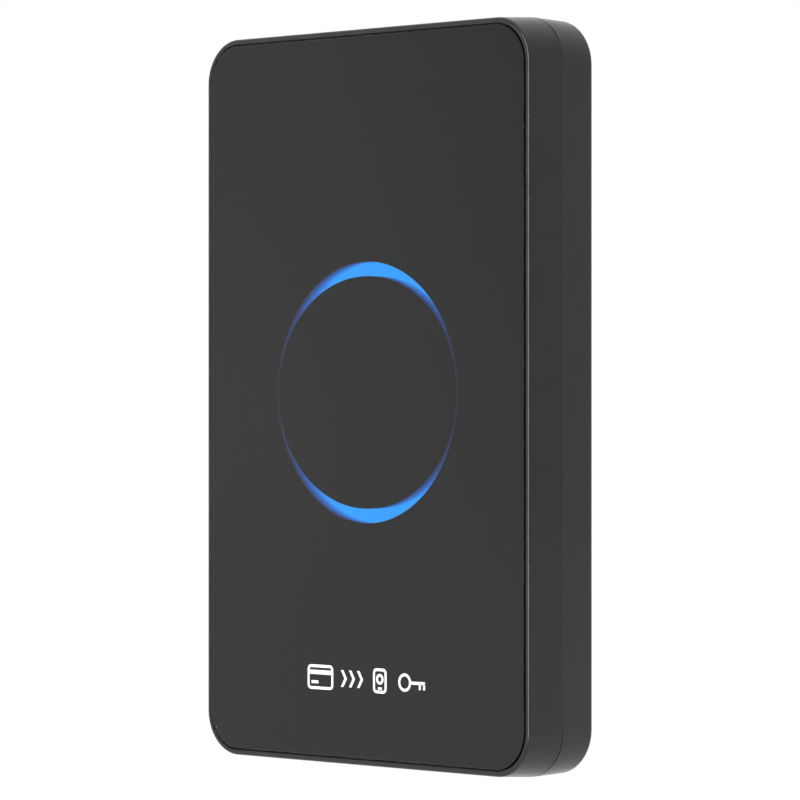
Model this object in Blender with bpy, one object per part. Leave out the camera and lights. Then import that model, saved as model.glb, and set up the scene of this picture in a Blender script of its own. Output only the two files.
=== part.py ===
"""RFID card reader: a slim desk reader standing on its short edge, +Z up, card face towards -Y.

Two drafted shells meet at a seam. A clear panel lies in the front shell's rim over a black printed film.
Two crescent windows in the film look into the troughs of a light guide, which stands in slots in the shell
and is lit by LEDs. Behind it are the circuit board and the USB socket in the top edge, and around it the
aerial coil. Depths are counted backwards from the rim, and (x, z) places from the case's centre.
"""

import math

import bmesh
import bpy

MM = 0.001

# Casing, sized at the seam, where both shells are widest
CASE_WIDTH = 70.0 * MM
CASE_HEIGHT = 110.0 * MM
CORNER_RADIUS = 7.0 * MM
FRONT_SHELL_DEPTH = 6.65 * MM
REAR_COVER_DEPTH = 6.55 * MM
FRONT_DRAFT = math.radians(3.3)
REAR_DRAFT = math.radians(1.9)
WALL = 1.8 * MM
SEAM_GAP = 0.2 * MM
SEAM_CHAMFER = 0.12 * MM
FLOOR_WALL = 1.5 * MM
BACK_FILLET = 0.7 * MM
LIP_INSET = 1.15 * MM
LIP_LENGTH = 1.2 * MM
REBATE_INSET = 0.85 * MM

# Rim round the front panel, then the layers behind it
RIM_FILLET = 0.36 * MM
RIM_WIDTH = 0.65 * MM
PANEL_GAP = 0.26 * MM
PANEL_FRONT = 0.05 * MM
PANEL_BACK = 1.25 * MM
PANEL_CHAMFER = 0.06 * MM
FILM_FRONT = 1.32 * MM
FILM_BACK = 1.42 * MM
TAPE_FRONT = 1.49 * MM
TAPE_BACK = 1.59 * MM
TAPE_WIDTH = 2.6 * MM
FRONT_WALL = 1.66 * MM
FRONT_WALL_BACK = 2.75 * MM

# Ring window: a round outer edge and a flatter oval inner edge, so it is widest at the top and bottom
RING_RADIUS = 19.43 * MM
RING_INNER_X = 19.15 * MM
RING_INNER_Z = 17.26 * MM
RING_RAISED = 0.63 * MM
WINDOW_ANGLE = math.radians(71.0)
SLOT_ANGLE = math.radians(74.0)
SLOT_MARGIN = 0.45 * MM

# Light guide, whose troughs have the window's outline, and the reflector frame that holds it over the LEDs
GUIDE_OUTER = 22.15 * MM
GUIDE_INNER = 15.2 * MM
GUIDE_FRONT = 2.87 * MM
GUIDE_BACK = 4.55 * MM
SKIRT_FRONT = 1.50 * MM
SKIRT_WALL = 0.33 * MM
SKIRT_ANGLE = math.radians(72.5)
TROUGH_FLOOR = 3.95 * MM
REFLECTOR_FRONT = 4.67 * MM
REFLECTOR_BACK = 5.52 * MM
LED_CIRCLE = 18.4 * MM
LED_ANGLES = (-24.0, 0.0, 24.0, 156.0, 180.0, 204.0)
LED_SIZE = (2.0 * MM, 0.8 * MM, 1.25 * MM)
LED_WINDOW = 3.0 * MM

# Circuit board and aerial
BOARD_INSET = 2.4 * MM
BOARD_FRONT = 5.65 * MM
BOARD_THICK = 1.0 * MM
SOLDER_GAP = 0.1 * MM
COIL_HALF_X = 24.9 * MM
COIL_HALF_Z = 40.0 * MM
COIL_CORNER = 10.0 * MM
COIL_WIDTH = 2.1 * MM
COIL_FRONT = 3.0 * MM
COIL_BACK = 3.9 * MM
LEAD_RADIUS = 0.2 * MM

# Screws, bosses and feet
BOSS_X = 27.8 * MM
BOSS_Z = 47.8 * MM
FRONT_BOSS_RADIUS = 2.5 * MM
REAR_BOSS_RADIUS = 3.2 * MM
BOSS_PILOT_RADIUS = 1.25 * MM
POST_X = 28.0 * MM
POST_RADIUS = 2.0 * MM
POST_PILOT_RADIUS = 1.05 * MM
PEG_PLACE = (21.6 * MM, 27.0 * MM)
PEG_RADIUS = 0.8 * MM
RIB_HEIGHTS = (-33.0 * MM, 33.0 * MM)
SCREW_POCKET_RADIUS = 2.3 * MM
SCREW_HOLE_RADIUS = 1.3 * MM
# Head radius, shank radius, head thickness, shank length
CASE_SCREW = (2.0 * MM, 1.0 * MM, 1.4 * MM, 6.4 * MM)
BOARD_SCREW = (1.6 * MM, 0.8 * MM, 1.0 * MM, 3.8 * MM)
FOOT_RADIUS = 4.0 * MM
FOOT_RECESS = 0.5 * MM
FOOT_PROUD = 0.8 * MM
FOOT_ROUND = 0.25 * MM

# USB Type-C socket, sunk into a cut-out of the board, in the middle of the top edge and of the seam
USB_HALF_X = 4.47 * MM
USB_HALF_DEPTH = 1.58 * MM
USB_WALL = 0.3 * MM
USB_LENGTH = 7.3 * MM
USB_MOUTH_SUNK = 0.45 * MM
USB_CLEARANCE = 0.3 * MM
USB_DEPTH = FRONT_SHELL_DEPTH

# Buzzer and blank label
BUZZER_PLACE = (15.0 * MM, -2.0 * MM)
BUZZER_HALF = 4.5 * MM
SOUND_HOLE_RADIUS = 0.55 * MM
SOUND_HOLE_CIRCLE = 2.2 * MM
LABEL_PLACE = (0.0, -24.0 * MM)
LABEL_HALF = (22.0 * MM, 12.5 * MM)
LABEL_RECESS = 0.3 * MM
LABEL_THICK = 0.14 * MM

# How far a boss or rib reaches into the wall it grows from, and how far a cutter runs past what it cuts
ROOT = 0.5 * MM
PAST = 1.0 * MM

CORNER_STEPS = 10
RING_STEPS = 72
ROUND_STEPS = 20
SMALL_STEPS = 12

# Worked out from the sizes above
CASE_DEPTH = FRONT_SHELL_DEPTH + REAR_COVER_DEPTH
RIM_Y = -(CASE_DEPTH + FOOT_PROUD) / 2
CENTRE_Z = CASE_HEIGHT / 2
FRONT_SEAM = FRONT_SHELL_DEPTH - SEAM_GAP / 2
REAR_SEAM = FRONT_SHELL_DEPTH + SEAM_GAP / 2
RIM_OUTER = math.tan(FRONT_DRAFT) * (FRONT_SEAM - RIM_FILLET)
RIM_INNER = RIM_OUTER + RIM_WIDTH
PANEL_INSET = RIM_INNER + PANEL_GAP
BACK_INSET = math.tan(REAR_DRAFT) * (CASE_DEPTH - REAR_SEAM - BACK_FILLET)
COVER_FLOOR = CASE_DEPTH - FLOOR_WALL
BOARD_BACK = BOARD_FRONT + BOARD_THICK
CORNERS = [(x, z) for z in (1, -1) for x in (-1, 1)]


def remove_startup_objects():
    for leftover in list(bpy.data.objects):
        bpy.data.objects.remove(leftover, do_unlink=True)


def new_material(name, colour, roughness, metallic=0.0):
    material = bpy.data.materials.new(name)
    material.use_nodes = True
    shader = material.node_tree.nodes["Principled BSDF"]
    shader.inputs["Base Color"].default_value = (*colour, 1.0)
    shader.inputs["Roughness"].default_value = roughness
    shader.inputs["Metallic"].default_value = metallic
    return material


def glowing_material(name, colour, strength):
    material = new_material(name, colour, 0.4)
    shader = material.node_tree.nodes["Principled BSDF"]
    shader.inputs["Emission Color"].default_value = (*colour, 1.0)
    shader.inputs["Emission Strength"].default_value = strength
    return material


def clear_material(name, colour, roughness):
    material = new_material(name, colour, roughness)
    shader = material.node_tree.nodes["Principled BSDF"]
    shader.inputs["Transmission Weight"].default_value = 1.0
    shader.inputs["IOR"].default_value = 1.49
    return material


# Outlines: lists of (x, z) points, anticlockwise as seen from the front


def rounded_rectangle(half_x, half_z, radius, steps, centre=(0.0, 0.0)):
    points = []
    for quarter in range(4):
        sign_x = (1, -1, -1, 1)[quarter]
        sign_z = (1, 1, -1, -1)[quarter]
        for step in range(steps + 1):
            angle = math.radians(90.0) * (quarter + step / steps)
            x = centre[0] + sign_x * (half_x - radius) + radius * math.cos(angle)
            z = centre[1] + sign_z * (half_z - radius) + radius * math.sin(angle)
            points.append((x, z))
    return points


def case_outline(inset):
    """The casing's outline, drawn in from its widest line by the same distance all round."""
    return rounded_rectangle(
        CASE_WIDTH / 2 - inset, CASE_HEIGHT / 2 - inset, CORNER_RADIUS - inset, CORNER_STEPS
    )


def rectangle(half_x, half_z, centre=(0.0, 0.0)):
    signs = ((1, 1), (-1, 1), (-1, -1), (1, -1))
    return [(centre[0] + sign_x * half_x, centre[1] + sign_z * half_z) for sign_x, sign_z in signs]


def circle(radius, steps, centre=(0.0, 0.0)):
    angles = [2 * math.pi * step / steps for step in range(steps)]
    return [(centre[0] + radius * math.cos(a), centre[1] + radius * math.sin(a)) for a in angles]


def on_ring(distance, angle):
    """A point about the ring's centre, at an angle counted clockwise from straight up."""
    return distance * math.sin(angle), RING_RAISED + distance * math.cos(angle)


def inner_edge(angle):
    """How far the oval inner edge of the ring window lies from its centre."""
    return 1.0 / math.hypot(math.sin(angle) / RING_INNER_X, math.cos(angle) / RING_INNER_Z)


def crescent(middle, half_angle, margin=0.0):
    """The window between the ring's edges, widened by the margin, over a sector about the middle angle."""
    steps = RING_STEPS // 2
    angles = [middle + half_angle * (2 * step / steps - 1) for step in range(steps + 1)]
    outer = [on_ring(RING_RADIUS + margin, a) for a in angles]
    inner = [on_ring(inner_edge(a) - margin, a) for a in reversed(angles)]
    return outer + inner


# Solids: rings of points, joined one to the next


def add_rings(mesh, rings, along="Y", looped=False):
    """Joins outlines of equal length. They lie at depths behind the rim, or at heights when along is Z."""
    loops = []
    for outline, distance in rings:
        if along == "Y":
            corners = [(x, RIM_Y + distance, CENTRE_Z + z) for x, z in outline]
        else:
            corners = [(x, RIM_Y + depth, distance) for x, depth in outline]
        loops.append([mesh.verts.new(corner) for corner in corners])
    pairs = list(zip(loops, loops[1:]))
    if looped:
        pairs.append((loops[-1], loops[0]))
    else:
        mesh.faces.new(loops[0])
        mesh.faces.new(loops[-1])
    for near, far in pairs:
        for i, corner in enumerate(near):
            mesh.faces.new((near[i - 1], corner, far[i], far[i - 1]))


def as_object(name, mesh, material):
    bmesh.ops.recalc_face_normals(mesh, faces=mesh.faces)
    data = bpy.data.meshes.new(name)
    mesh.to_mesh(data)
    mesh.free()
    data.shade_smooth()
    data.set_sharp_from_angle(angle=math.radians(30.0))
    if material:
        data.materials.append(material)
    part = bpy.data.objects.new(name, data)
    bpy.context.scene.collection.objects.link(part)
    return part


def solid(name, rings, material, along="Y", looped=False):
    mesh = bmesh.new()
    add_rings(mesh, rings, along, looped)
    return as_object(name, mesh, material)


def helper(name, shapes, along="Y"):
    """Several separate shapes in one hidden object, to be cut from a part or joined to it."""
    mesh = bmesh.new()
    for rings in shapes:
        add_rings(mesh, rings, along)
    part = as_object(name, mesh, None)
    part.hide_render = True
    part.display_type = "WIRE"
    return part


def combine(part, other, operation):
    modifier = part.modifiers.new(other.name, "BOOLEAN")
    modifier.operation = operation
    modifier.solver = "EXACT"
    modifier.object = other


def bevel(part, width, segments=1):
    modifier = part.modifiers.new("edges", "BEVEL")
    modifier.width = width
    modifier.segments = segments
    modifier.limit_method = "ANGLE"
    modifier.angle_limit = math.radians(40.0)


def prism(outline, front, back):
    return [(outline, front), (outline, back)]


def pillars(places, radius, front, back, steps=ROUND_STEPS):
    return [prism(circle(radius, steps, place), front, back) for place in places]


def fillet(radius, steps):
    """Pairs of (sideways, depth) from the side of an edge, round to its top."""
    angles = [math.radians(90.0) * step / steps for step in range(steps + 1)]
    return [(radius * (1 - math.cos(a)), radius * (1 - math.sin(a))) for a in angles]


def boss_places():
    return [(x * BOSS_X, z * BOSS_Z) for x, z in CORNERS]


def post_places():
    return [(-POST_X, 0.0), (POST_X, 0.0)]


# Casing


def usb_slot(name):
    outline = rounded_rectangle(
        USB_HALF_X + USB_CLEARANCE,
        USB_HALF_DEPTH + USB_CLEARANCE,
        USB_HALF_DEPTH,
        CORNER_STEPS // 2,
        (0.0, USB_DEPTH),
    )
    slot_end = CASE_HEIGHT - USB_MOUTH_SUNK - USB_LENGTH - USB_WALL
    return helper(name, [[(outline, slot_end), (outline, CASE_HEIGHT + PAST)]], along="Z")


def make_front_shell(material):
    rings = [
        (case_outline(WALL + 0.1 * MM), FRONT_WALL_BACK),
        (case_outline(WALL), FRONT_SEAM - LIP_LENGTH),
        (case_outline(REBATE_INSET), FRONT_SEAM - LIP_LENGTH),
        (case_outline(REBATE_INSET), FRONT_SEAM),
        (case_outline(SEAM_CHAMFER), FRONT_SEAM),
        (case_outline(0.0), FRONT_SEAM - SEAM_CHAMFER),
    ]
    rings += [(case_outline(RIM_OUTER + side), depth) for side, depth in fillet(RIM_FILLET, 4)]
    rings += [(case_outline(RIM_INNER), 0.0), (case_outline(RIM_INNER), FRONT_WALL)]
    shell = solid("front_shell", rings, material)
    root = FRONT_WALL_BACK - ROOT
    supports = pillars(boss_places(), FRONT_BOSS_RADIUS, root, FRONT_SEAM)
    supports += pillars(post_places(), POST_RADIUS, root, BOARD_FRONT - 0.15 * MM)
    peg_places = [(x * PEG_PLACE[0], z * PEG_PLACE[1]) for x, z in CORNERS]
    supports += pillars(peg_places, PEG_RADIUS, root, BOARD_FRONT - 0.3 * MM, SMALL_STEPS)
    combine(shell, helper("front_supports", supports), "UNION")
    holes = [
        prism(crescent(middle, SLOT_ANGLE, SLOT_MARGIN), FRONT_WALL - PAST, FRONT_WALL_BACK + PAST)
        for middle in (0.0, math.pi)
    ]
    holes += pillars(boss_places(), BOSS_PILOT_RADIUS, FRONT_WALL_BACK, FRONT_SEAM + PAST, SMALL_STEPS)
    holes += pillars(post_places(), POST_PILOT_RADIUS, FRONT_WALL + 0.4 * MM, BOARD_FRONT, SMALL_STEPS)
    combine(shell, helper("front_holes", holes), "DIFFERENCE")
    combine(shell, usb_slot("front_usb_slot"), "DIFFERENCE")


def make_rear_cover(material):
    rings = [
        (case_outline(WALL + 0.1 * MM), COVER_FLOOR),
        (case_outline(WALL), REAR_SEAM - LIP_LENGTH + 0.1 * MM),
        (case_outline(LIP_INSET), REAR_SEAM - LIP_LENGTH + 0.1 * MM),
        (case_outline(LIP_INSET), REAR_SEAM),
        (case_outline(SEAM_CHAMFER), REAR_SEAM),
        (case_outline(0.0), REAR_SEAM + SEAM_CHAMFER),
    ]
    rings += [
        (case_outline(BACK_INSET + side), CASE_DEPTH - depth) for side, depth in fillet(BACK_FILLET, 4)
    ]
    cover = solid("rear_cover", rings, material)
    boss_front = FRONT_SEAM + 0.4 * MM
    supports = pillars(boss_places(), REAR_BOSS_RADIUS, boss_front, COVER_FLOOR + ROOT)
    for height in RIB_HEIGHTS:
        rib = rectangle(CASE_WIDTH / 2 - 6 * MM, 0.4 * MM, (0.0, height))
        supports.append(prism(rib, COVER_FLOOR - 1.3 * MM, COVER_FLOOR + ROOT))
    combine(cover, helper("rear_supports", supports), "UNION")
    combine(cover, helper("rear_holes", rear_holes(boss_front)), "DIFFERENCE")
    combine(cover, usb_slot("rear_usb_slot"), "DIFFERENCE")


def rear_holes(boss_front):
    """A stepped pocket at each corner for a foot and its screw, the label's recess, and the sound holes."""
    outside = CASE_DEPTH + PAST
    foot_floor = CASE_DEPTH - FOOT_RECESS
    stepped = [
        (SCREW_HOLE_RADIUS, boss_front - PAST),
        (SCREW_HOLE_RADIUS, screw_seat()),
        (SCREW_POCKET_RADIUS, screw_seat()),
        (SCREW_POCKET_RADIUS, foot_floor),
        (FOOT_RADIUS + 0.25 * MM, foot_floor),
        (FOOT_RADIUS + 0.25 * MM, outside),
    ]
    holes = [[(circle(r, ROUND_STEPS, place), depth) for r, depth in stepped] for place in boss_places()]
    label = rounded_rectangle(
        LABEL_HALF[0] + 0.3 * MM, LABEL_HALF[1] + 0.3 * MM, 1.5 * MM, CORNER_STEPS // 3, LABEL_PLACE
    )
    holes.append(prism(label, CASE_DEPTH - LABEL_RECESS, outside))
    sound = [BUZZER_PLACE] + circle(SOUND_HOLE_CIRCLE, 6, BUZZER_PLACE)
    holes += pillars(sound, SOUND_HOLE_RADIUS, COVER_FLOOR - PAST, outside, SMALL_STEPS // 2)
    return holes


def screw_seat():
    """The depth at which a case screw's head bears on its boss."""
    return CASE_DEPTH - FOOT_RECESS - 1.7 * MM


def make_front_panel(material):
    rings = [
        (case_outline(PANEL_INSET + PANEL_CHAMFER), PANEL_FRONT),
        (case_outline(PANEL_INSET), PANEL_FRONT + PANEL_CHAMFER),
        (case_outline(PANEL_INSET), PANEL_BACK),
    ]
    solid("front_panel", rings, material)


def make_mask_film(material):
    """The black film behind the panel. Narrow bridges at the ring's sides hold its middle."""
    film = solid("mask_film", prism(case_outline(PANEL_INSET + 0.1 * MM), FILM_FRONT, FILM_BACK), material)
    windows = [
        prism(crescent(middle, WINDOW_ANGLE), FILM_FRONT - PAST, FILM_BACK + PAST)
        for middle in (0.0, math.pi)
    ]
    combine(film, helper("film_windows", windows), "DIFFERENCE")


def make_panel_tape(material):
    """The frame of double-sided tape that holds the film and the panel on the front shell's wall."""
    outer = case_outline(PANEL_INSET + 0.4 * MM)
    inner = case_outline(PANEL_INSET + 0.4 * MM + TAPE_WIDTH)
    rings = [(outer, TAPE_FRONT), (outer, TAPE_BACK), (inner, TAPE_BACK), (inner, TAPE_FRONT)]
    solid("panel_tape", rings, material, looped=True)


def make_foot(number, place, material):
    front = CASE_DEPTH - FOOT_RECESS + 0.1 * MM
    face = CASE_DEPTH + FOOT_PROUD
    rings = [(circle(FOOT_RADIUS, ROUND_STEPS, place), front)]
    rings += [
        (circle(FOOT_RADIUS - side, ROUND_STEPS, place), face - depth)
        for side, depth in fillet(FOOT_ROUND, 3)
    ]
    solid(f"rubber_foot_{number}", rings, material)


def make_label(material):
    front = CASE_DEPTH - LABEL_RECESS + 0.1 * MM
    outline = rounded_rectangle(*LABEL_HALF, 1.2 * MM, CORNER_STEPS // 3, LABEL_PLACE)
    solid("rear_label", prism(outline, front, front + LABEL_THICK), material)


# Screws


def make_screw(name, place, sizes, head_back, material):
    """A pan head with a cross recess, on a shank with a short point, driven forwards from behind."""
    head, shank, head_thick, length = sizes
    crown = 0.25 * MM
    seat = head_back - head_thick
    profile = [
        (head - crown, head_back),
        (head, head_back - crown),
        (head, seat),
        (shank, seat),
        (shank, seat - length + 0.6 * MM),
        (0.35 * MM, seat - length),
    ]
    screw = solid(name, [(circle(r, SMALL_STEPS, place), depth) for r, depth in profile], material)
    arm = head * 0.62
    bars = [rectangle(arm, 0.22 * MM, place), rectangle(0.22 * MM, arm, place)]
    cross_depth = head_back - head_thick * 0.55
    for number, bar in enumerate(bars):
        cutter = helper(f"{name}_cross_{number}", [prism(bar, cross_depth, head_back + PAST)])
        combine(screw, cutter, "DIFFERENCE")


def make_screws(material):
    head_back = CASE_DEPTH - FOOT_RECESS - 0.2 * MM
    for number, place in enumerate(boss_places(), 1):
        make_screw(f"case_screw_{number}", place, CASE_SCREW, head_back, material)
    head_back = BOARD_BACK + SOLDER_GAP + BOARD_SCREW[2]
    for number, place in enumerate(post_places(), 1):
        make_screw(f"board_screw_{number}", place, BOARD_SCREW, head_back, material)


# Ring light


def annulus(outer_radius, inner_radius, front, back, steps):
    outer = circle(outer_radius, steps, (0.0, RING_RAISED))
    inner = circle(inner_radius, steps, (0.0, RING_RAISED))
    return [(outer, front), (outer, back), (inner, back), (inner, front)]


def make_light_guide(material):
    """A milky ring with two raised crescents, each hollowed by a trough whose floor and walls glow."""
    rings = annulus(GUIDE_OUTER, GUIDE_INNER, GUIDE_FRONT, GUIDE_BACK, RING_STEPS)
    guide = solid("light_guide", rings, material, looped=True)
    skirts = [
        prism(crescent(middle, SKIRT_ANGLE, SKIRT_WALL), SKIRT_FRONT, GUIDE_FRONT + ROOT)
        for middle in (0.0, math.pi)
    ]
    combine(guide, helper("guide_skirts", skirts), "UNION")
    troughs = [
        prism(crescent(middle, WINDOW_ANGLE), SKIRT_FRONT - PAST, TROUGH_FLOOR) for middle in (0.0, math.pi)
    ]
    combine(guide, helper("guide_troughs", troughs), "DIFFERENCE")


def led_place(angle):
    return on_ring(LED_CIRCLE, math.radians(angle))


def make_reflector(material):
    """The white frame behind the light guide, with a window for each LED."""
    rings = annulus(GUIDE_OUTER, GUIDE_INNER, REFLECTOR_FRONT, REFLECTOR_BACK, RING_STEPS // 2)
    reflector = solid("light_reflector", rings, material, looped=True)
    half = LED_WINDOW / 2
    windows = [
        prism(rectangle(half, half, led_place(angle)), REFLECTOR_FRONT - PAST, REFLECTOR_BACK + PAST)
        for angle in LED_ANGLES
    ]
    combine(reflector, helper("led_windows", windows), "DIFFERENCE")


def make_leds(material):
    back = BOARD_FRONT - SOLDER_GAP
    for number, angle in enumerate(LED_ANGLES, 1):
        outline = rectangle(LED_SIZE[0] / 2, LED_SIZE[2] / 2, led_place(angle))
        led = solid(f"ring_led_{number}", prism(outline, back - LED_SIZE[1], back), material)
        bevel(led, 0.08 * MM)


# Circuit board


def make_board(material):
    board = solid("main_board", prism(case_outline(BOARD_INSET), BOARD_FRONT, BOARD_BACK), material)
    front = BOARD_FRONT - PAST
    back = BOARD_BACK + PAST
    holes = pillars(boss_places(), FRONT_BOSS_RADIUS + 0.3 * MM, front, back)
    holes += pillars(post_places(), 1.1 * MM, front, back, SMALL_STEPS)
    socket_back = CASE_HEIGHT / 2 - USB_MOUTH_SUNK - USB_LENGTH - 0.3 * MM
    cut_half = (CASE_HEIGHT / 2 - socket_back) / 2
    cut_out = rectangle(USB_HALF_X + 0.3 * MM, cut_half, (0.0, socket_back + cut_half))
    holes.append(prism(cut_out, front, back))
    combine(board, helper("board_holes", holes), "DIFFERENCE")


def make_aerial(wire_material):
    """The flat wound coil in front of the board, and the two wires that join it to the board."""
    outer = rounded_rectangle(COIL_HALF_X, COIL_HALF_Z, COIL_CORNER, CORNER_STEPS)
    inner = rounded_rectangle(
        COIL_HALF_X - COIL_WIDTH, COIL_HALF_Z - COIL_WIDTH, COIL_CORNER - COIL_WIDTH, CORNER_STEPS
    )
    rings = [(outer, COIL_FRONT), (outer, COIL_BACK), (inner, COIL_BACK), (inner, COIL_FRONT)]
    bevel(solid("aerial_coil", rings, wire_material, looped=True), 0.15 * MM)
    for number, x in enumerate((-2.0 * MM, 2.0 * MM), 1):
        make_coil_lead(f"coil_lead_{number}", x, wire_material)


def make_coil_lead(name, x, material):
    start_z = -(COIL_HALF_Z - COIL_WIDTH) + 0.3 * MM
    middle = (COIL_FRONT + COIL_BACK) / 2
    curve = bpy.data.curves.new(name, "CURVE")
    curve.dimensions = "3D"
    curve.bevel_depth = LEAD_RADIUS
    curve.bevel_resolution = 1
    curve.use_fill_caps = True
    line = curve.splines.new("POLY")
    steps = 8
    line.points.add(steps)
    for step in range(steps + 1):
        share = step / steps
        sag = math.sin(math.pi * share) * 0.15 * MM
        z = CENTRE_Z + start_z + 5.0 * MM * share
        line.points[step].co = (x * (1 + 0.4 * share), RIM_Y + middle + 0.18 * MM * share - sag, z, 1.0)
    curve.materials.append(material)
    lead = bpy.data.objects.new(name, curve)
    bpy.context.scene.collection.objects.link(lead)


def component(name, place, size, height, material, edge=0.1 * MM):
    """A body of size (x, z) standing on the back of the board."""
    front = BOARD_BACK + SOLDER_GAP
    part = solid(name, prism(rectangle(size[0] / 2, size[1] / 2, place), front, front + height), material)
    if edge:
        bevel(part, edge)
    return part


def add_legs(part, place, rows, leg, pitch, count, material):
    """Flat legs along two or four sides. rows lists (side_x, side_z, reach) for each side."""
    front = BOARD_BACK + SOLDER_GAP
    shapes = []
    for side_x, side_z, reach in rows:
        for number in range(count):
            shift = (number - (count - 1) / 2) * pitch
            x = place[0] + side_x * (reach - leg[1] / 2) + (shift if side_z else 0.0)
            z = place[1] + side_z * (reach - leg[1] / 2) + (shift if side_x else 0.0)
            half_x = leg[1] / 2 if side_x else leg[0] / 2
            half_z = leg[0] / 2 if side_x else leg[1] / 2
            shapes.append(prism(rectangle(half_x, half_z, (x, z)), front, front + 0.35 * MM))
    combine(part, helper(f"{part.name}_legs", shapes), "UNION")


def make_chips(material):
    place = (0.0, 26.0 * MM)
    chip = component("controller_chip", place, (7.0 * MM, 7.0 * MM), 1.4 * MM, material)
    sides = [(1, 0, 4.5 * MM), (-1, 0, 4.5 * MM), (0, 1, 4.5 * MM), (0, -1, 4.5 * MM)]
    add_legs(chip, place, sides, (0.25 * MM, 1.4 * MM), 0.8 * MM, 8, material)
    place = (0.0, -16.0 * MM)
    chip = component("reader_chip", place, (9.9 * MM, 3.9 * MM), 1.5 * MM, material)
    sides = [(0, 1, 3.0 * MM), (0, -1, 3.0 * MM)]
    add_legs(chip, place, sides, (0.42 * MM, 1.4 * MM), 1.27 * MM, 8, material)
    place = (-11.0 * MM, 42.0 * MM)
    chip = component("voltage_regulator", place, (6.5 * MM, 3.5 * MM), 1.6 * MM, material)
    add_legs(chip, place, [(0, -1, 3.5 * MM)], (0.7 * MM, 2.0 * MM), 2.3 * MM, 3, material)
    place = (-12.0 * MM, 12.0 * MM)
    chip = component("led_driver", place, (2.9 * MM, 1.3 * MM), 1.0 * MM, material)
    add_legs(chip, place, [(0, 1, 1.2 * MM), (0, -1, 1.2 * MM)], (0.4 * MM, 0.8 * MM), 1.9 * MM, 2, material)
    place = (0.0, 42.5 * MM)
    chip = component("surge_protector", place, (2.9 * MM, 1.6 * MM), 1.1 * MM, material)
    add_legs(chip, place, [(0, 1, 1.4 * MM), (0, -1, 1.4 * MM)], (0.4 * MM, 0.8 * MM), 0.95 * MM, 3, material)


def make_passives(ceramic, tantalum, ferrite, steel):
    component("bulk_capacitor", (11.0 * MM, 42.0 * MM), (7.3 * MM, 4.3 * MM), 2.8 * MM, tantalum, 0.2 * MM)
    component("choke_inductor", (-20.0 * MM, 38.0 * MM), (4.0 * MM, 4.0 * MM), 2.0 * MM, ferrite, 0.4 * MM)
    for number, x in enumerate((-8.0 * MM, 8.0 * MM), 1):
        size = (4.5 * MM, 3.2 * MM)
        component(f"tuning_capacitor_{number}", (x, -28.0 * MM), size, 2.0 * MM, ceramic, 0.2 * MM)
    component("reader_crystal", (10.5 * MM, -16.0 * MM), (3.2 * MM, 2.5 * MM), 0.8 * MM, steel)
    can_front = BOARD_BACK + SOLDER_GAP
    can = rounded_rectangle(5.5 * MM, 2.3 * MM, 2.2 * MM, CORNER_STEPS // 2, (14.0 * MM, 26.0 * MM))
    bevel(solid("controller_crystal", prism(can, can_front, can_front + 3.5 * MM), steel), 0.3 * MM, 2)
    places = [(x * 7.5 * MM, (26.0 + z * 6.5) * MM) for x, z in CORNERS]
    for number, place in enumerate(places, 1):
        component(f"filter_capacitor_{number}", place, (2.0 * MM, 1.25 * MM), 0.8 * MM, ceramic)
    for number in range(len(LED_ANGLES)):
        place = (-18.0 * MM, (10.0 - 3.0 * number) * MM)
        component(f"led_resistor_{number + 1}", place, (1.6 * MM, 0.8 * MM), 0.45 * MM, ferrite, 0.05 * MM)


def make_buzzer(material):
    """A square magnetic buzzer with a round sound port in its back."""
    size = (2 * BUZZER_HALF, 2 * BUZZER_HALF)
    height = 3.2 * MM
    buzzer = component("buzzer", BUZZER_PLACE, size, height, material, 0.3 * MM)
    back = BOARD_BACK + SOLDER_GAP + height
    port = helper("buzzer_port", pillars([BUZZER_PLACE], 1.2 * MM, back - 1.5 * MM, back + PAST, SMALL_STEPS))
    combine(buzzer, port, "DIFFERENCE")


# USB socket


def usb_outline(inset):
    return rounded_rectangle(
        USB_HALF_X - inset,
        USB_HALF_DEPTH - inset,
        USB_HALF_DEPTH - inset - 0.05 * MM,
        CORNER_STEPS // 2,
        (0.0, USB_DEPTH),
    )


def make_usb_socket(steel, plastic):
    mouth = CASE_HEIGHT - USB_MOUTH_SUNK
    back = mouth - USB_LENGTH
    rings = [
        (usb_outline(0.0), back),
        (usb_outline(0.0), mouth - 0.1 * MM),
        (usb_outline(0.1 * MM), mouth),
        (usb_outline(USB_WALL), mouth - 0.1 * MM),
        (usb_outline(USB_WALL), back + 0.5 * MM),
    ]
    solid("usb_shell", rings, steel, along="Z")
    base = usb_outline(USB_WALL + 0.1 * MM)
    base_back = back + 0.6 * MM
    tongue = solid("usb_tongue", [(base, base_back), (base, base_back + 1.4 * MM)], plastic, along="Z")
    blade = rounded_rectangle(3.35 * MM, 0.35 * MM, 0.1 * MM, 2, (0.0, USB_DEPTH))
    blade_rings = [(blade, base_back + 0.5 * MM), (blade, mouth - 0.7 * MM)]
    combine(tongue, helper("usb_blade", [blade_rings], along="Z"), "UNION")


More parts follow.
